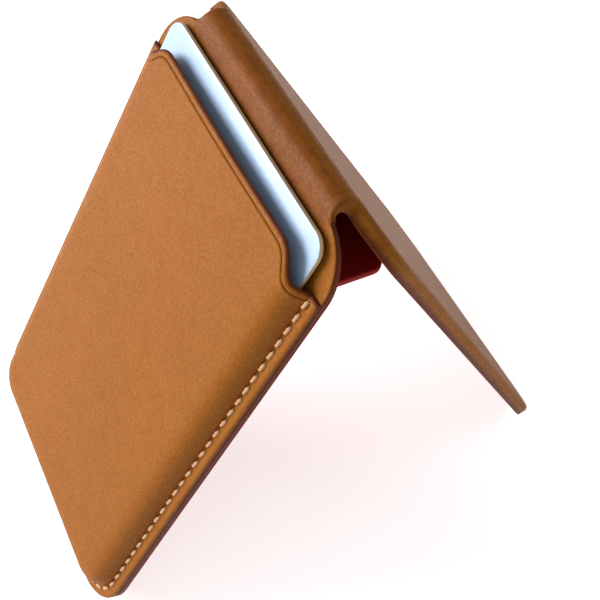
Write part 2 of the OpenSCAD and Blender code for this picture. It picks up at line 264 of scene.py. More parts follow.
def thread_finish():
    """Waxed polyester: fine fibres and a patchy tone, with painted shade at each stitch's ends where it
    dives into its holes.
    """
    tones = bpy.context.scene.wallet_colours
    f = Finish("wallet_thread", specular_ior_level=0.45, sheen_weight=0.15)
    fibre = f.noise(6500, 2.0, 0.6)
    stitch = f.noise(300, 1.0)
    stitch_end_shade = f.node("Attribute", {"attribute_name": "rim"}, out="Fac")
    tone = f.mix(f.between(fibre, 0.35, 0.7), shade(tones.thread, 0.86), tones.thread)
    tone = f.mix(f.between(stitch, 0.45, 0.7, 0.0, 0.3), tone, shade(tones.thread, 0.82))
    # Painted shade: the marked ends of each stitch are darkened where the thread dives into its holes.
    tone = f.mix(stitch_end_shade * 0.8, tone, shade(tones.leather_deep, 0.8))
    f.bump(fibre, 0.00005, 0.6)
    return f.feed(base_color=tone, roughness=0.5 + fibre * 0.2)


def needle_hole_shade_finish():
    # Painted shade: the needle holes are coloured near black to stand for the shade inside them.
    tones = bpy.context.scene.wallet_colours
    f = Finish("wallet_needle_hole_shade", specular_ior_level=0.1)
    grit = f.noise(3000, 2.0)
    return f.feed(base_color=f.mix(grit, shade(tones.edge, 0.18), shade(tones.edge, 0.34)),
                  roughness=0.85 + grit * 0.1)


def card_finish(name, tone_value, roughness, grain):
    """Laminated plastic sheet: an eggshell gloss with faint mottling in the print."""
    f = Finish(name, specular_ior_level=0.5, coat_roughness=0.25)
    speckle = f.noise(2600, 3.0, 0.6)
    mottled = f.noise(90, 2.0, 0.5)
    tone = f.mix(f.between(mottled, 0.35, 0.7, 0.0, 0.5), tone_value, shade(tone_value, 0.965))
    tone = f.mix(f.between(speckle, 0.45, 0.75, 0.0, grain), tone, shade(tone_value, 0.8))
    f.bump(speckle, 0.00001, 0.25)
    return f.feed(base_color=tone, roughness=roughness + (mottled - 0.5) * 0.1)


def metal_finish(name, tone_value, roughness, brushed):
    """Plated or ground metal with a fine lay along X."""
    f = Finish(name, specular_ior_level=0.5)
    lay = f.noise(900, 3.0, 0.6, f.stretched(f.place, (0.06, 1.0, 1.0)))
    spots = f.noise(420, 3.0, 0.55)
    tone = f.mix(f.between(lay, 0.35, 0.7), tone_value, shade(tone_value, 0.8))
    tone = f.mix(f.between(spots, 0.55, 0.8, 0.0, 0.4), tone, shade(tone_value, 0.6))
    f.bump(lay, 0.00002, brushed)
    return f.feed(base_color=tone, roughness=roughness + (lay - 0.5) * 0.2,
                  metallic=f.between(spots, 0.2, 0.9, 1.0, 0.9))


def board_finish():
    """Pressed fibre board: matted short fibres in a dark grey pulp."""
    f = Finish("wallet_board", specular_ior_level=0.3)
    fibre = f.noise(1400, 4.0, 0.7, f.stretched(f.place, (0.35, 1.0, 1.0)))
    fleck = f.cells(700)
    tone = f.mix(f.between(fibre, 0.35, 0.7), (0.030, 0.028, 0.026), (0.075, 0.070, 0.064))
    tone = f.mix(f.between(fleck, 0.0, 0.16, 0.35, 0.0), tone, (0.16, 0.14, 0.11))
    f.bump(fibre, 0.00006, 0.5)
    return f.feed(base_color=tone, roughness=0.8 + (fibre - 0.5) * 0.2)


def finish_named(name, make, *values):
    return bpy.data.materials.get(name) or make(*values)


def leather():
    return finish_named("wallet_leather", leather_finish)


def lining():
    return finish_named("wallet_lining", suede_finish, "wallet_lining",
                        bpy.context.scene.wallet_colours.lining)


# ---- Modelling by hand, in code ----

def put_down():
    """Leaves edit mode and deselects everything, as an operator acts on all that is selected."""
    if bpy.context.object and bpy.context.object.mode != "OBJECT":
        bpy.ops.object.mode_set(mode="OBJECT")
    bpy.ops.object.select_all(action="DESELECT")


def pick(piece, wanted, kind="VERT"):
    """Goes into edit mode with only the wanted corners, edges or faces selected."""
    if piece.mode != "EDIT":
        put_down()
        piece.select_set(True)
        bpy.context.view_layer.objects.active = piece
        bpy.ops.object.mode_set(mode="EDIT")
    bpy.ops.mesh.select_mode(type=kind)
    bpy.ops.mesh.select_all(action="DESELECT")
    shape = bmesh.from_edit_mesh(piece.data)
    parts = {"VERT": shape.verts, "EDGE": shape.edges, "FACE": shape.faces}[kind]
    chosen = [part for part in parts if wanted(part)]
    for part in chosen:
        part.select_set(True)
    shape.select_flush_mode()
    bmesh.update_edit_mesh(piece.data)
    if not chosen:
        raise RuntimeError(f"{piece.name}: nothing there to select")


def laid(piece, matrix):
    """Puts a piece drawn in leaf millimetres where it belongs, with its place in its mesh."""
    put_down()
    piece.select_set(True)
    bpy.context.view_layer.objects.active = piece
    piece.matrix_world = matrix @ Matrix.Scale(MM, 4)
    bpy.ops.object.transform_apply(location=True, rotation=True, scale=True)
    return piece


def smooth(piece, angle=50):
    put_down()
    piece.select_set(True)
    bpy.context.view_layer.objects.active = piece
    bpy.ops.object.shade_smooth_by_angle(angle=math.radians(angle))
    return piece


def dressed(piece, body, slot, *finishes):
    """The last steps for a piece: its finishes and its body. slot is not used."""
    piece.data.materials.clear()
    for finish in finishes:
        piece.data.materials.append(finish)
    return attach(piece, body)


def cut_sheet(name, half, top, foot, corners, low, high, softness, steps=10):
    """A sheet cut to a rounded outline and softened round its rims.
    corners gives the radius at the top and at the foot."""
    put_down()
    bpy.ops.mesh.primitive_plane_add(size=1, location=(0, (top + foot) / 2, low))
    piece = bpy.context.object
    piece.name = piece.data.name = name
    bpy.ops.transform.resize(value=(2 * half, foot - top, 1))
    bpy.ops.object.transform_apply(location=True, rotation=True, scale=True)
    middle = (top + foot) / 2
    for at_top, radius in ((True, corners[0]), (False, corners[1])):
        end = top if at_top else foot
        pick(piece, lambda v: abs(v.co.y - end) < 1e-4 and abs(abs(v.co.x) - half) < 1e-4)
        bpy.ops.mesh.bevel(offset=radius, segments=steps, affect="VERTICES", clamp_overlap=False)
    pick(piece, lambda face: True, "FACE")
    bpy.ops.mesh.extrude_region_move(TRANSFORM_OT_translate={"value": (0, 0, high - low)})
    pick(piece, lambda edge: abs(edge.verts[0].co.z - edge.verts[1].co.z) < 1e-5, "EDGE")
    bpy.ops.mesh.bevel(offset=softness, segments=3, affect="EDGES", clamp_overlap=False)
    pick(piece, lambda face: True, "FACE")
    bpy.ops.mesh.normals_make_consistent(inside=False)
    put_down()
    return piece


def drawn_skin(name, rings):
    """A closed skin drawn through rings of points, from a grid primitive rolled into a tube.
    The grid's last column lies on its first and is merged, and its two ends are closed."""
    put_down()
    count, rows = len(rings[0]), len(rings)
    bpy.ops.mesh.primitive_grid_add(x_subdivisions=count, y_subdivisions=rows - 1, size=2)
    piece = bpy.context.object
    piece.name = piece.data.name = name
    for row, ring in enumerate(rings):
        for column in range(count + 1):
            piece.data.vertices[row * (count + 1) + column].co = ring[column % count]
    pick(piece, lambda v: True)
    bpy.ops.mesh.remove_doubles(threshold=0.0002)
    pick(piece, lambda edge: edge.is_boundary, "EDGE")
    bpy.ops.mesh.fill_holes(sides=0)
    bpy.ops.mesh.select_all(action="SELECT")
    bpy.ops.mesh.dissolve_degenerate(threshold=0.0002)
    bpy.ops.mesh.select_all(action="SELECT")
    bpy.ops.mesh.normals_make_consistent(inside=False)
    put_down()
    return piece


def paint_dye_and_shade(piece, amount):
    """Writes how far each corner is darkened, from its place in millimetres: burnished edge dye, and
    painted shade where the given function puts it.
    """
    values = [amount(v.co) for v in piece.data.vertices]
    layer = piece.data.attributes.get("rim") or piece.data.attributes.new("rim", "FLOAT", "POINT")
    layer.data.foreach_set("value", values)
    return piece


def ease(value, start, end):
    t = min(1.0, max(0.0, (value - start) / (end - start)))
    return t * t * (3 - 2 * t)


def dip(value, centre, width):
    return math.exp(-((value - centre) / width) ** 2)


def spread(start, end, count, both=False):
    steps = range(count + 1) if both else range(count)
    return [start + (end - start) * i / count for i in steps]


# ---- The hide: one sheet from the foot of the wallet, over the ridge, to the foot of the flap ----

WALLET_OUT, WALLET_IN = 2.3, 1.3
FLAP_OUT, FLAP_IN, FLAP_LOW = 3.8, 3.22, 1.06
FLAP_WRAP = 0.35
BOARD_EDGE, BOARD_TOP, BOARD_Z = 3.3, 8.0, 1.8
RIM_TOP = [0, 0.04, 0.15, 0.34, 0.62, 0.95, 1.25, 1.5, 1.72, 1.95, 2.3, 2.9, 3.8]
RIM_UNDER = [3.7, 3.35, 3.25, 1.6, 0.37, 0.33, 0.2, 0.05]


def leaf_width(s, inward, grown):
    """Half width of a leaf's outline, at s down the leaf, moved in by a distance."""
    half, corner, foot = mm(sizes().leaf_half), mm(sizes().leaf_corner), mm(sizes().leaf_length)
    radius = corner + grown - inward
    straight = half - corner
    reach = max(corner - s, s - (foot - corner), 0.0)
    if reach >= radius:
        return straight
    return straight + math.sqrt(radius * radius - reach * reach)


def hide_width(s, inward, grown, leaf):
    """Half width of the hide: the ridge strip with soft fillets where it meets the leaves."""
    neck = mm(sizes().ridge_half) + 1.0 * math.exp(-abs(s) / 0.9) - inward
    return max(neck, leaf_width(s, inward, grown)) if leaf else neck


def edge_round(depth, radius):
    if depth >= radius:
        return 0.0
    return radius - math.sqrt(max(0.0, radius * radius - (radius - depth) ** 2))


def hide_ring(s, turn, share, foot_depth, grown, leaf):
    """One cross section of the hide, in millimetres about the ridge axis. share is 0 on the
    wallet and 1 on the flap, turn is the angle round the ridge from the wallet's outward side,
    and foot_depth is the distance to the foot of the leaf."""
    def height(depth, x, under):
        depth = min(depth, foot_depth)
        if under:
            if share >= 1:
                thick = depth < 0.35 or s < 0.36
                return (FLAP_LOW if thick else FLAP_IN) + (edge_round(depth, 0.25) if thick else 0)
            board = leaf and depth > BOARD_EDGE and s > BOARD_TOP
            flat = WALLET_IN + (FLAP_LOW - WALLET_IN) * share
            return (BOARD_Z if board else flat) + edge_round(depth, 0.2)
        radius = 0.32 + 0.68 * share
        level = WALLET_OUT + (FLAP_OUT - WALLET_OUT) * share
        crease = 0.10 * share * dip(depth, 1.72, 0.16)
        soft = noise.noise(Vector((x * 0.045, s * 0.045 + 9 * share, 0.3))) * 0.10
        return level - edge_round(depth, radius) - crease + soft * ease(depth, 0.6, 5)

    def half(depth):
        return hide_width(s, depth, grown, leaf)

    across = [(-half(depth), depth) for depth in RIM_TOP[:-1]]
    across += [(x, RIM_TOP[-1]) for x in spread(-half(RIM_TOP[-1]), half(RIM_TOP[-1]), 26, True)]
    across += [(half(depth), depth) for depth in reversed(RIM_TOP[:-1])]
    beneath = [(half(depth), depth) for depth in reversed(RIM_UNDER)]
    inner, level = half(RIM_UNDER[0]), RIM_UNDER[0] + 1
    beneath += [(x, level) for x in spread(inner, -inner, 12)[1:]]
    beneath += [(-half(depth), depth) for depth in RIM_UNDER]
    outline = [(x, height(depth, x, False)) for x, depth in across]
    outline += [(x, height(depth, x, True)) for x, depth in beneath]
    if turn is None:
        side = 1 if share >= 1 else -1
        return [round_ridge(side, x, s, z) for x, z in outline]
    out = Vector((0, -COS, SIN)) * math.cos(turn) + Vector((0, SIN, COS)) * math.sin(turn)
    return [Vector((x, 0, 0)) + out * z for x, z in outline]


def round_ridge(side, x, s, z):
    """A leaf point about the ridge axis: side is -1 on the wallet and 1 on the flap."""
    return Vector((x, side * (s * SIN + z * COS), -s * COS + z * SIN))


STRAIGHT_ROWS = [12, 16, 20, 25, 30, 36, 42, 48, 54, 60, 66, 72, 77, 81, 84.5, 87.5]
CORNER_ROWS = [0.0, 0.1, 0.34, 0.38, 0.65, 1.0, 1.5, 2.1, 2.9, 3.8, 4.8, 6.0, 7.2, 8.4, 9.8]
FOOT_ROWS = [4.6, 5.6, 6.8, 8.0, 9.4]
ARC_STEPS = 18


def hide_rings():
    """All the cross sections, from the foot of the wallet over the ridge to the foot of the flap."""
    foot = mm(sizes().leaf_length)
    foot_depths = sorted(set(RIM_TOP + RIM_UNDER)) + FOOT_ROWS
    far = 50.0
    rings = [hide_ring(foot - depth, None, 0, depth, 0, True) for depth in foot_depths]
    rings += [hide_ring(s, None, 0, far, 0, True) for s in reversed(CORNER_ROWS + STRAIGHT_ROWS)]
    arc = math.pi - 2 * LEAN
    for i in range(1, ARC_STEPS):
        from_leaf = min(i, ARC_STEPS - i) / ARC_STEPS * arc * 3.0
        share = min(ease(i, 0, ARC_STEPS), 0.999)
        rings.append(hide_ring(-from_leaf, arc * i / ARC_STEPS, share, far, 0, False))
    rings += [hide_ring(s, None, 1, far, FLAP_WRAP, True) for s in CORNER_ROWS + STRAIGHT_ROWS]
    rings += [hide_ring(foot + FLAP_WRAP - depth, None, 1, depth, FLAP_WRAP, True)
              for depth in reversed(foot_depths)]
    return rings


class WALLET_OT_hide(bpy.types.Operator):
    """Add the hide that backs the wallet, turns over the ridge and wraps the flap"""
    bl_idname = "wallet.hide"
    bl_label = "Hide"

    def execute(self, context):
        hide = drawn_skin("hide", hide_rings())
        foot = mm(sizes().leaf_length)

        def edge_dye_and_shade(p):
            flap = p.y > 0
            s = -p.z * COS + abs(p.y) * SIN
            z = p.z * SIN + abs(p.y) * COS
            # Painted shade: the ridge strip and the top of the wallet's back are darkened towards the
            # edge dye, fading out early on the flap.
            ridge_shade = 0.5 * (1 - ease(s, 1.5, 5.0)) * (1 - ease(abs(p.x), 22.8, 25.5))
            if flap:
                ridge_shade *= 1 - ease(p.y, 0.5, 3.0)
            if s < 0:
                return max(ridge_shade, 0.35 * ease(abs(p.x), 22.2, 23.2))
            grown = FLAP_WRAP if flap else 0
            out = 1 - ease(leaf_width(s, 0, grown) - abs(p.x), 0.03, 0.5)
            end = 1 - ease(foot + grown - s, 0.03, 0.5)
            low = 1 - ease(z, 1.9, 3.0) if flap else 1 - 0.3 * ease(z, 1.9, 2.25)
            return max(max(out, end) * low, ridge_shade)

        paint_dye_and_shade(hide, edge_dye_and_shade)
        laid(hide, Matrix.Translation(RIDGE))
        smooth(hide)
        hide.data.materials.append(leather())
        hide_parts("back_panel", "ridge_tape", "flap_leather")
        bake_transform(hide)
        return {"FINISHED"}


# ---- The pocket: moulded leather with a raised field, a sewn rim and a creased mouth ----

SEWN_TOP, SEWN_LOW = 3.0, 2.3
POCKET_LEATHER = 0.7
HOLLOW_R, MOUTH_R, MOUTH_STRAIGHT, MOUTH_TURN = 2.2, 5.0, 20.5, math.radians(52)
MOUTH_LOW = 9.7
SHOULDER_START, SHOULDER_END, SHOULDER_POWER = 2.35, 9.6, 5.0
SEAM_START = 1.8


def mouth_line():
    """Half of the mouth, from the middle out past the sewn edge."""
    top = mm(sizes().mouth_drop)
    outer = MOUTH_STRAIGHT + MOUTH_R * math.sin(MOUTH_TURN)
    outer_s = top + MOUTH_R * (1 - math.cos(MOUTH_TURN))
    middle_s = MOUTH_LOW - HOLLOW_R
    slope_end = middle_s + HOLLOW_R * math.cos(MOUTH_TURN)
    middle_x = (outer + (slope_end - outer_s) / math.tan(MOUTH_TURN)
                + HOLLOW_R * math.sin(MOUTH_TURN))
    points = [(x, top) for x in spread(0, MOUTH_STRAIGHT, 20)]
    points += [(MOUTH_STRAIGHT + MOUTH_R * math.sin(a), top + MOUTH_R * (1 - math.cos(a)))
               for a in spread(0, MOUTH_TURN, 16, True)]
    points += [(middle_x - HOLLOW_R * math.sin(a), middle_s + HOLLOW_R * math.cos(a))
               for a in spread(MOUTH_TURN, 0, 12, True)]
    return points + [(x, MOUTH_LOW) for x in spread(middle_x + 1, 75, 36, True)]


def mouth_points(inward):
    """The mouth's line moved into the leather: the lowest reach of circles rolled along it."""
    line = mouth_line()
    if inward < 0.01:
        return [p for p in line if p[0] <= 40]
    fine = []
    for a, b in zip(line, line[1:]):
        pieces = max(1, math.ceil(math.dist(a, b) / 0.25))
        fine += [(a[0] + (b[0] - a[0]) * i / pieces, a[1] + (b[1] - a[1]) * i / pieces)
                 for i in range(pieces)]
    fine += [(-x, s) for x, s in fine]
    result = []
    for x in sorted({p[0] for p in line if p[0] <= 40}):
        result.append((x, max(s + math.sqrt(inward * inward - (u - x) ** 2)
                              for u, s in fine if abs(u - x) < inward)))
    return result


def stepped(points, count):
    """The same line with evenly spaced points."""
    lengths = [0.0]
    for a, b in zip(points, points[1:]):
        lengths.append(lengths[-1] + math.dist(a, b))
    result, index = [], 0
    for i in range(count):
        wanted = lengths[-1] * i / (count - 1)
        while index < len(lengths) - 2 and lengths[index + 1] < wanted:
            index += 1
        gap = lengths[index + 1] - lengths[index] or 1.0
        t = (wanted - lengths[index]) / gap
        a, b = points[index], points[index + 1]
        result.append((a[0] + (b[0] - a[0]) * t, a[1] + (b[1] - a[1]) * t))
    return result


def pocket_outline(inward, mouth_inward):
    """The pocket's outline moved in from the sewn edge and from the mouth, as even steps."""
    half, foot, corner = mm(sizes().leaf_half), mm(sizes().leaf_length), mm(sizes().leaf_corner)
    side = half - inward
    mouth = [p for p in mouth_points(mouth_inward) if p[0] < side - 1e-6]
    after = next(p for p in mouth_points(mouth_inward) if p[0] >= side - 1e-6)
    t = (side - mouth[-1][0]) / (after[0] - mouth[-1][0])
    mouth.append((side, mouth[-1][1] + (after[1] - mouth[-1][1]) * t))
    radius = min(max(corner - inward, 2.5), 0.8 * side)
    low = foot - inward - radius
    right = stepped(mouth, 56)
    right += stepped([(side, mouth[-1][1]), (side, low)], 44)[1:]
    right += [(side - radius + radius * math.cos(a), low + radius * math.sin(a))
              for a in spread(0, math.pi / 2, 12, True)[1:]]
    right += stepped([(side - radius, foot - inward), (0, foot - inward)], 14)[1:]
    return right + [(-x, s) for x, s in reversed(right[1:-1])]


def rim_distance(x, s):
    """How far a point lies inside the leaf's sewn outline."""
    half, foot, corner = mm(sizes().leaf_half), mm(sizes().leaf_length), mm(sizes().leaf_corner)
    across, down = abs(x) - (half - corner), s - (foot - corner)
    if across > 0 and down > 0:
        return corner - math.hypot(across, down)
    return min(half - abs(x), foot - s)


def pocket_top(x, s):
    """Height of the pocket's grain side: sewn rim, valley at the seam, shoulder and field."""
    d = rim_distance(x, s)
    rise = mm(sizes().pocket_rise)
    t = min(1.0, max(0.0, (d - SHOULDER_START) / (SHOULDER_END - SHOULDER_START)))
    shoulder = rise * (1 - (1 - t) ** SHOULDER_POWER)
    swell = 0.10 * dip(d, 0.75, 0.55)
    pulled = 0.14 * dip(d, mm(sizes().seam_inset) + 0.1, 0.42)
    crown = 0.22 * ease(d, 4, 28)
    soft = 0.14 * noise.noise(Vector((x * 0.05, s * 0.05, 4.2))) * ease(d, 3, 12)
    return SEWN_TOP + shoulder + swell - pulled + crown + soft


CAVITY_IN, CAVITY_CORNER, CARD_ROOF = 3.1, 3.6, 3.75


def in_cavity(x, s):
    """Whether a point lies over the space that the card slides in, whose corners fit the card's."""
    half, foot = mm(sizes().leaf_half) - CAVITY_IN, mm(sizes().leaf_length) - CAVITY_IN
    across, down = abs(x) - (half - CAVITY_CORNER), s - (foot - CAVITY_CORNER)
    if across > 0 and down > 0:
        return math.hypot(across, down) <= CAVITY_CORNER
    return abs(x) <= half and s <= foot


def pocket_under(x, s):
    """Height of the flesh side, which clears the card to the very corners of its space."""
    d, top = rim_distance(x, s), pocket_top(x, s)
    level = SEWN_LOW + (top - POCKET_LEATHER - SEWN_LOW) * ease(d, 2.7, 3.5)
    return max(level, min(CARD_ROOF, top - 0.05)) if in_cavity(x, s) else level


# The skin's rings, each as its distance in from the mouth and in from the sewn edge: first the
# flesh side from its middle out, then the grain side back to its middle.
POCKET_UNDER = [(38, 29.6), (31, 27), (24, 23), (18, 17), (12, 12), (7, 9), (3.5, 6.0), (2.0, 4.4),
                (1.5, 3.6), (1.1, 3.2), (0.95, 2.95), (0.8, 2.7), (0.6, 1.6), (0.38, 0.4),
                (0.18, 0.18), (0.05, 0.05)]
POCKET_OVER = [(0.0, 0.0), (0.04, 0.03), (0.14, 0.1), (0.32, 0.22), (0.55, 0.4), (0.85, 0.7),
               (1.05, 1.0), (1.2, 1.3), (1.32, 1.6), (1.44, 1.9), (1.6, 2.15), (1.8, 2.35),
               (2.0, 2.5), (2.3, 2.7), (2.7, 2.95), (3.2, 3.3), (3.8, 3.8), (4.5, 4.5), (5.4, 5.3),
               (6.4, 6.3), (7.6, 7.4), (9, 8.7), (11, 10.4), (14, 13), (18, 17), (24, 23), (31, 27),
               (38, 29.6)]


def mouth_distance(x, s):
    """Roughly how far a point lies below the mouth, for its crease and rounding."""
    best = 99.0
    for a, b in zip(MOUTH_LINE, MOUTH_LINE[1:]):
        along = (b[0] - a[0], b[1] - a[1])
        size = along[0] ** 2 + along[1] ** 2 or 1.0
        t = min(1.0, max(0.0, ((abs(x) - a[0]) * along[0] + (s - a[1]) * along[1]) / size))
        best = min(best, math.hypot(abs(x) - a[0] - along[0] * t, s - a[1] - along[1] * t))
    return best


MOUTH_LINE = []


def pocket_rings():
    MOUTH_LINE[:] = mouth_points(0)
    rings = []
    for mouth_inward, inward in POCKET_UNDER:
        ring = []
        for x, s in pocket_outline(inward, mouth_inward):
            edge = min(rim_distance(x, s), mouth_distance(x, s))
            ring.append(Vector((x, s, pocket_under(x, s) + edge_round(edge, 0.3) * 0.9)))
        rings.append(ring)
    for mouth_inward, inward in POCKET_OVER:
        ring = []
        for x, s in pocket_outline(inward, mouth_inward):
            d, m = rim_distance(x, s), mouth_distance(x, s)
            turned = max(edge_round(d, 0.42), edge_round(m, 0.5) * 0.92)
            crease = 0.20 * dip(m, 1.32, 0.13) - 0.06 * dip(m, 1.75, 0.3) - 0.05 * dip(m, 0.9, 0.25)
            ring.append(Vector((x, s, pocket_top(x, s) - turned - crease)))
        rings.append(ring)
    return rings


class WALLET_OT_pocket(bpy.types.Operator):
    """Add the moulded leather that covers the card, with its sewn rim and creased mouth"""
    bl_idname = "wallet.pocket"
    bl_label = "Pocket"

    def execute(self, context):
        pocket = drawn_skin("pocket_leather", pocket_rings())

        def edge_dye_and_shade(p):
            d, m = rim_distance(p.x, p.y), mouth_distance(p.x, p.y)
            low = 1 - ease(p.z, SEWN_TOP - 0.45, SEWN_TOP - 0.02)
            sewn = (1 - ease(d, 0.05, 0.4)) * low
            cut = (1 - ease(m, 0.15, 0.9)) * 0.75
            # Painted shade: a dark line painted into the crease along the mouth.
            line = 0.62 * dip(m, 1.32, 0.14)
            return max(sewn, cut, line)

        paint_dye_and_shade(pocket, edge_dye_and_shade)
        laid(pocket, WALLET_LEAF)
        smooth(pocket)
        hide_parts("front_panel")
        dressed(pocket, "wallet", "leather", leather())
        return {"FINISHED"}


# ---- The seam ----

def seam_place(walked):
    """Place and direction on the seam, at a distance from its start by the mouth."""
    half, foot, corner = mm(sizes().leaf_half), mm(sizes().leaf_length), mm(sizes().leaf_corner)
    inset = mm(sizes().seam_inset)
    radius, top = corner - inset, MOUTH_LOW + SEAM_START
    side = foot - corner - top
    bend, across = math.pi / 2 * radius, 2 * (half - corner)
    total = 2 * side + 2 * bend + across
    if walked > total / 2:
        x, s, direction = seam_place(total - walked)
        return -x, s, -direction
    if walked < side:
        return half - inset, top + walked, math.pi / 2
    if walked < side + bend:
        a = (walked - side) / radius
        return (half - corner + radius * math.cos(a), foot - corner + radius * math.sin(a),
                math.pi / 2 + a)
    return half - corner - (walked - side - bend), foot - inset, math.pi


def seam_total():
    half, foot, corner = mm(sizes().leaf_half), mm(sizes().leaf_length), mm(sizes().leaf_corner)
    radius = corner - mm(sizes().seam_inset)
    return 2 * (foot - corner - MOUTH_LOW - SEAM_START) + math.pi * radius + 2 * (half - corner)


def one_stitch():
    """A twisted two-ply stitch that dives into its holes, drawn along X on a face at Z 0."""
    long, thick = mm(sizes().stitch_length) / 2, mm(sizes().thread_radius)
    rings = []
    for x, rise, size in ((-1.08, -0.5, 0.5), (-1.0, 0.05, 0.8), (-0.8, 0.52, 0.98),
                          (-0.4, 0.72, 1.06), (0.0, 0.78, 1.08), (0.4, 0.72, 1.06),
                          (0.8, 0.52, 0.98), (1.0, 0.05, 0.8), (1.08, -0.5, 0.5)):
        lay = x * 2.6
        ring = []
        for i in range(8):
            a = 2 * math.pi * i / 8
            r = thick * size * (1 + 0.16 * math.cos(2 * (a - lay)))
            ring.append(Vector((x * long, r * math.cos(a), rise * thick + r * math.sin(a))))
        rings.append(ring)
    stitch = drawn_skin("stitch", rings)
    # Painted shade: the ends of the stitch, where it dives into its holes, are marked to be darkened.
    return paint_dye_and_shade(stitch, lambda p: 0.9 * ease(abs(p.x) / long, 0.88, 1.05))


def one_hole():
    """A needle hole: a shallow dimple a little longer than the thread is thick, coloured dark as painted
    shade.
    """
    put_down()
    bpy.ops.mesh.primitive_cone_add(vertices=10, radius1=0.40, radius2=0.22, depth=0.05)
    hole = bpy.context.object
    hole.name = "needle_hole"
    pick(hole, lambda face: face.normal.z > 0.9, "FACE")
    bpy.ops.mesh.inset(thickness=0.06)
    bpy.ops.transform.translate(value=(0, 0, -0.05))
    put_down()
    return hole


def copied(pattern, place):
    copy = pattern.copy()
    copy.data = pattern.data.copy()
    copy.matrix_world = place
    bpy.context.scene.collection.objects.link(copy)
    return copy


def joined(name, parts):
    put_down()
    for part in parts:
        part.select_set(True)
    bpy.context.view_layer.objects.active = parts[0]
    bpy.ops.object.join()
    whole = bpy.context.object
    whole.name = whole.data.name = name
    bpy.ops.object.transform_apply(location=True, rotation=True, scale=True)
    return whole


class WALLET_OT_stitches(bpy.types.Operator):
    """Add the seam's thread on both faces and the needle holes between the stitches, painted dark as
    shade
    """
    bl_idname = "wallet.stitches"
    bl_label = "Stitches"

    def execute(self, context):
        pattern, hole = one_stitch(), one_hole()
        steps, total = sizes().stitch_steps, seam_total()
        threads, holes = [], []
        for i in range(steps + 1):
            x, s, direction = seam_place(total * i / steps)
            slant = sizes().stitch_slant * (1 if i < steps / 2 else -1)
            loose = 0.5 * noise.noise(Vector((i * 0.73, 1.7, 0)))
            turn = Matrix.Rotation(direction + slant + loose * 0.12, 4, "Z")
            level = pocket_top(x, s)
            place = Matrix.Translation((x, s, level)) @ turn
            stretch = Matrix.Diagonal((1 + loose * 0.12, 1 + loose * 0.1, 1 + loose * 0.16, 1))
            threads.append(copied(pattern, place @ stretch))
            flipped = Matrix.Translation((x, s, 1.0)) @ Matrix.Rotation(math.pi, 4, "X")
            threads.append(copied(pattern, flipped @ Matrix.Rotation(-direction, 4, "Z") @ stretch))
            for end in (-1, 1):
                offset = turn @ Vector((end * (mm(sizes().stitch_length) / 2 + 0.08), 0, 0))
                at = (x + offset.x, s + offset.y, pocket_top(x + offset.x, s + offset.y) - 0.005)
                holes.append(copied(hole, Matrix.Translation(at) @ turn
                                    @ Matrix.Diagonal((1, 0.72, 1, 1))))
        bpy.data.objects.remove(pattern)
        bpy.data.objects.remove(hole)
        thread = laid(joined("seam_thread", threads), WALLET_LEAF)
        hole_shades = laid(joined("needle_hole_shades", holes), WALLET_LEAF)
        smooth(thread, 80)
        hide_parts("stitching")
        dressed(thread, "wallet", "thread", finish_named("wallet_thread", thread_finish))
        dressed(hole_shades, "wallet", "leather", finish_named("wallet_needle_hole_shade", needle_hole_shade_finish))
        return {"FINISHED"}


# ---- Card, linings, brace and fittings ----

CARD_SLIP = 0.4
CARD_LOW, CARD_HIGH, CARD_TOP = 2.9, 3.66, 2.1
POCKET_LINING_INSET, POCKET_LINING_TOP = 9.0, 7.5
BRACE_HALF, BRACE_START, BRACE_END, BRACE_THICK = 22.8, 0.45, 18.65, 1.5
BRACE_DROP, HINGE_STRIP, BEAD_R, WEB_HALF = 18.3, 9.0, 0.5, 0.2
STRIP_END_SHRINK = 0.06


class WALLET_OT_card(bpy.types.Operator):
    """Add the plain bank card, with its printed faces and its bare core at the edge"""
    bl_idname = "wallet.card"
    bl_label = "Card"

    def execute(self, context):
        tones = context.scene.wallet_colours
        s = sizes()
        card = cut_sheet("bank_card", mm(s.card_half), CARD_TOP, CARD_TOP + mm(s.card_length),
                         (mm(s.card_corner),) * 2, CARD_LOW, CARD_HIGH, 0.07, 14)
        for face in card.data.polygons:
            face.material_index = 1 if abs(face.normal.z) < 0.35 else 0
        laid(card, WALLET_LEAF @ Matrix.Translation((CARD_SLIP * MM, 0, 0)))
        smooth(card, 60)
        indices = [face.material_index for face in card.data.polygons]
        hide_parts("card")
        dressed(card, "card", "card",
                finish_named("card_sheet", card_finish, "card_sheet", tones.card_face, 0.32, 0.05),
                finish_named("card_core", card_finish, "card_core", tones.card_core, 0.5, 0.4))
        card.data.polygons.foreach_set("material_index", indices)
        return {"FINISHED"}


class WALLET_OT_linings(bpy.types.Operator):
    """Add the suede on the inner face of each leaf and inside the pocket"""
    bl_idname = "wallet.linings"
    bl_label = "Linings"

    def execute(self, context):
        s = sizes()
        half, foot, corner = mm(s.leaf_half), mm(s.leaf_length), mm(s.leaf_corner)
        for name, node, body, leaf, low, high, border in (
                ("wallet_lining", "back_lining", "wallet", WALLET_LEAF, 1.0, 1.3, 0.0),
                ("flap_lining_suede", "flap_lining", "flap", FLAP_LEAF, 1.0, 1.4, 0.05)):
            suede = cut_sheet(name, half - border, 0.42, foot - border, (corner, corner),
                              low, high, 0.12, 14)
            laid(suede, leaf)
            smooth(suede)
            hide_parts(node)
            dressed(suede, body, "lining", lining())
        inset = POCKET_LINING_INSET
        roof = SEWN_TOP + mm(s.pocket_rise) - POCKET_LEATHER
        inner = cut_sheet("pocket_lining", half - inset, POCKET_LINING_TOP, foot - inset, (2, 2),
                          roof - 0.32, roof - 0.02, 0.1)
        laid(inner, WALLET_LEAF)
        smooth(inner)
        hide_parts("front_lining")
        dressed(inner, "wallet", "lining", lining())
        return {"FINISHED"}


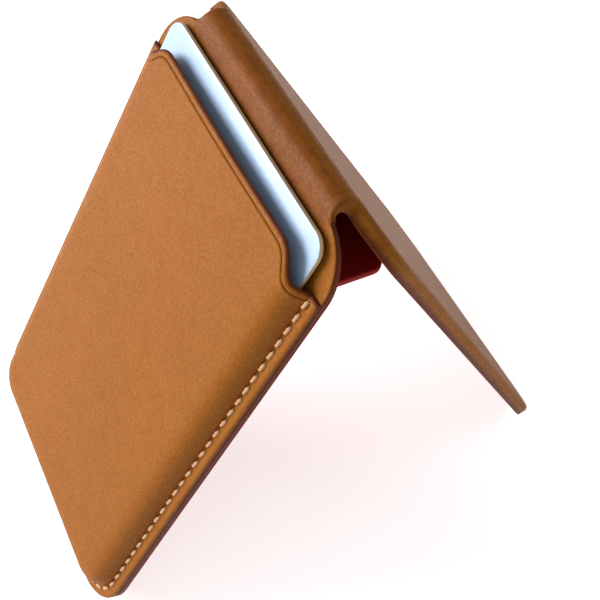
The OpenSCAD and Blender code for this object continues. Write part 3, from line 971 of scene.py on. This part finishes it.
class WALLET_OT_brace(bpy.types.Operator):
    """Add the leather-covered brace and the hinge strip that it turns on"""
    bl_idname = "wallet.brace"
    bl_label = "Brace"

    def execute(self, context):
        half = BRACE_HALF
        cover = cut_sheet("brace_cover", half, BRACE_START, BRACE_END, (0.5, 2.5),
                          -BRACE_THICK / 2, BRACE_THICK / 2, 0.36)
        laid(cover, BRACE_LEAF)
        smooth(cover)
        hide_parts("brace_upper_skin", "brace_lower_skin")
        dressed(cover, "brace", "lining", lining())

        drop, tape, bead, web = BRACE_DROP, HINGE_STRIP, BEAD_R, WEB_HALF
        profile = [(drop - tape, 1.0), (drop - tape + 0.06, 0.76), (drop - tape + 0.4, 0.7),
                   (drop - 1.2, 0.7), (drop - 0.45, 0.62), (drop - web, 0.46)]
        profile += [(drop - bead * math.cos(a), -bead * math.sin(a))
                    for a in spread(-0.9, math.pi + 0.9, 14, True)]
        profile += [(drop + web, 0.6), (drop + web + 0.1, 0.98), (drop - tape / 2, 1.0)]
        rings = [[Vector((x, s, z)) for s, z in profile]
                 for x in [-half, -half + 0.1] + spread(-half + 1, half - 1, 8, True)
                 + [half - 0.1, half]]
        for ring in (rings[0], rings[-1]):
            centre = sum(ring, Vector()) / len(ring)
            ring[:] = [p + (centre - p) * STRIP_END_SHRINK for p in ring]
        strip = drawn_skin("brace_hinge_strip", rings)
        laid(strip, WALLET_LEAF)
        smooth(strip)
        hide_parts("brace_hinge_tape")
        dressed(strip, "wallet", "lining", lining())
        return {"FINISHED"}


class WALLET_OT_fittings(bpy.types.Operator):
    """Finish the boards, magnets and steel plates that stay as they are"""
    bl_idname = "wallet.fittings"
    bl_label = "Fittings"

    def execute(self, context):
        board = finish_named("wallet_board", board_finish)
        steel = finish_named("wallet_steel", metal_finish, "wallet_steel", (0.42, 0.43, 0.45),
                             0.34, 0.3)
        magnet = finish_named("wallet_magnet", metal_finish, "wallet_magnet", (0.60, 0.58, 0.54),
                              0.24, 0.1)
        for finish, names in ((board, ("back_board", "flap_frame")),
                              (steel, ("ring_shunt", "keeper_strip", "closing_plates",
                                       "brace_plate")),
                              (magnet, ("magnet_ring", "alignment_magnet", "closing_magnets",
                                        "brace_magnets"))):
            for name in names:
                node = frame["nodes"][name]
                node.data.materials.clear()
                node.data.materials.append(finish)
        return {"FINISHED"}


# ---- Stage ----

FLOOR_GLOW = 0.65

def area_light(name, place, target, size, power, tint=(1, 1, 1)):
    put_down()
    bpy.ops.object.light_add(type="AREA", location=place)
    light = bpy.context.object
    light.name = name
    light.data.shape = "DISK"
    light.data.size = size
    light.data.energy = power
    light.data.color = tint
    aim = Vector(target) - Vector(place)
    light.rotation_euler = aim.to_track_quat("-Z", "Y").to_euler()
    return light


class WALLET_OT_stage(bpy.types.Operator):
    """Add the pale floor, the soft lights and the camera"""
    bl_idname = "wallet.stage"
    bl_label = "Stage"

    def execute(self, context):
        scene = context.scene
        scene.view_settings.view_transform = "Standard"
        scene.view_settings.look = "None"
        put_down()
        bpy.ops.mesh.primitive_plane_add(size=6, location=(0, 0, 0))
        floor = bpy.context.object
        floor.name = "studio_floor"
        finish = Finish("studio_floor", specular_ior_level=0.1)
        tone = scene.wallet_colours.floor
        floor.data.materials.append(finish.feed(
            base_color=finish.mix(finish.noise(3, 2), tone, shade(tone, 0.99)), roughness=0.9,
            emission_color=finish.mix(finish.noise(3, 2), tone, shade(tone, 0.99))))
        finish.skin.inputs["Emission Strength"].default_value = FLOOR_GLOW

        world = bpy.data.worlds.new("studio")
        world.use_nodes = True
        world.node_tree.nodes["Background"].inputs["Color"].default_value = (0.97, 0.985, 1.0, 1)
        world.node_tree.nodes["Background"].inputs["Strength"].default_value = 0.42
        scene.world = world

        area_light("window", (-0.46, -0.66, 0.30), (0, 0, 0.05), 0.55, 10.0, (1.0, 0.99, 0.97))
        area_light("fill", (0.15, 0.55, 0.35), (0, 0, 0.05), 0.4, 0.5, (0.96, 0.98, 1.0))

        put_down()
        bpy.ops.object.camera_add(location=(0.099838, -0.048912, 0.195832))
        camera = bpy.context.object
        camera.name = "camera"
        right = Vector((0.44833, 0.89314, 0.03604))
        up = Vector((-0.74628, 0.35181, 0.56507))
        back = Vector((0.49200, -0.28023, 0.82426))
        camera.matrix_world = Matrix.Translation(camera.location) @ Matrix(
            (right, up, back)).transposed().to_4x4()
        camera.data.lens = 59.768
        camera.data.sensor_width = 36
        camera.data.shift_x = -0.00543
        camera.data.shift_y = 0.01954
        camera.data.clip_start, camera.data.clip_end = 0.01, 20
        camera.data.dof.use_dof = False
        scene.camera = camera
        return {"FINISHED"}


OPERATORS = (WALLET_OT_hide, WALLET_OT_pocket, WALLET_OT_stitches, WALLET_OT_card,
             WALLET_OT_linings, WALLET_OT_brace, WALLET_OT_fittings, WALLET_OT_stage)


class WALLET_PT_pieces(bpy.types.Panel):
    """The wallet's pieces, sizes and colours"""
    bl_label = "Card wallet"
    bl_idname = "WALLET_PT_pieces"
    bl_space_type = "VIEW_3D"
    bl_region_type = "UI"
    bl_category = "Wallet"

    def draw(self, context):
        for operator in OPERATORS:
            self.layout.operator(operator.bl_idname)
        for group in (context.scene.wallet_sizes, context.scene.wallet_colours):
            for key in group.__annotations__:
                self.layout.prop(group, key)


CLASSES = (WalletSizes, WalletColours, *OPERATORS, WALLET_PT_pieces)


def register():
    for cls in CLASSES:
        bpy.utils.register_class(cls)
    bpy.types.Scene.wallet_sizes = PointerProperty(type=WalletSizes)
    bpy.types.Scene.wallet_colours = PointerProperty(type=WalletColours)


def unregister():
    del bpy.types.Scene.wallet_colours
    del bpy.types.Scene.wallet_sizes
    for cls in reversed(CLASSES):
        bpy.utils.unregister_class(cls)


def main():
    register()
    for operator in OPERATORS:
        group, name = operator.bl_idname.split(".")
        getattr(getattr(bpy.ops, group), name)()
    put_down()


if __name__ == "__main__":
    main()
